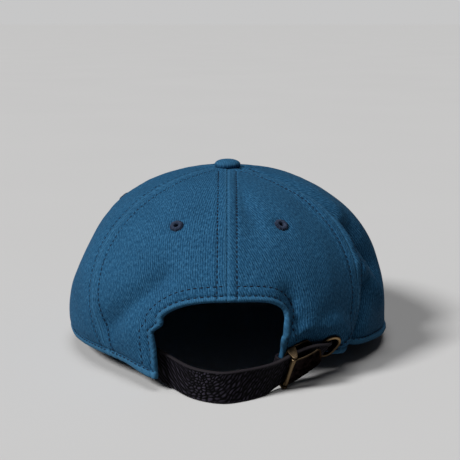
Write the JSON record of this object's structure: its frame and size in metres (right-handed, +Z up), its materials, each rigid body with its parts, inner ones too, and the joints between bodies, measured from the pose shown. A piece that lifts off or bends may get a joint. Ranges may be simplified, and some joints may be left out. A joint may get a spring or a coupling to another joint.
{
  "type": "cap",
  "caption": "Soft panelled cloth cap with a visor, sewn eyelets and a covered button; its half-moon back opening is closed by a leather strap with a brass snap buckle and grommet.",
  "frame": {"origin": "middle of the bounding box's footprint, on the table that the cap rests on", "axes": "+X towards the wearer's right, +Y forward towards the visor, +Z up; the picture looks along +Y at the back"},
  "size_m": [0.1812, 0.268, 0.1031],
  "materials": {
    "cloth": "matt teal-blue twill weave",
    "visor_cloth": "matt teal-blue twill weave over a stiff board",
    "thread": "navy sewing thread",
    "strap_leather": "black pebbled leather, slight sheen",
    "brass": "antiqued brass"
  },
  "bodies": {
    "cap": {"panel_back_left": "cloth", "panel_back_right": "cloth", "panel_side_left": "cloth", "panel_side_right": "cloth", "panel_front_left": "cloth", "panel_front_right": "cloth", "button": "cloth", "visor": "visor_cloth", "eyelet_back_left": "thread", "eyelet_back_right": "thread", "eyelet_side_left": "thread", "eyelet_side_right": "thread", "eyelet_front_left": "thread", "eyelet_front_right": "thread", "strap": "strap_leather", "buckle_tab": "strap_leather", "buckle_frame": "brass", "grommet": "brass"},
    "buckle_lid": {"buckle_lever": "brass"}
  },
  "joints": [
    {"name": "lid_hinge", "type": "hinge", "parent": "cap", "child": "buckle_lid", "pos_m": [0.03059, -0.1171, 0.01034], "axis": [-0.2361, 0.314, -0.9196], "range_deg": [0, 105]}
  ]
}
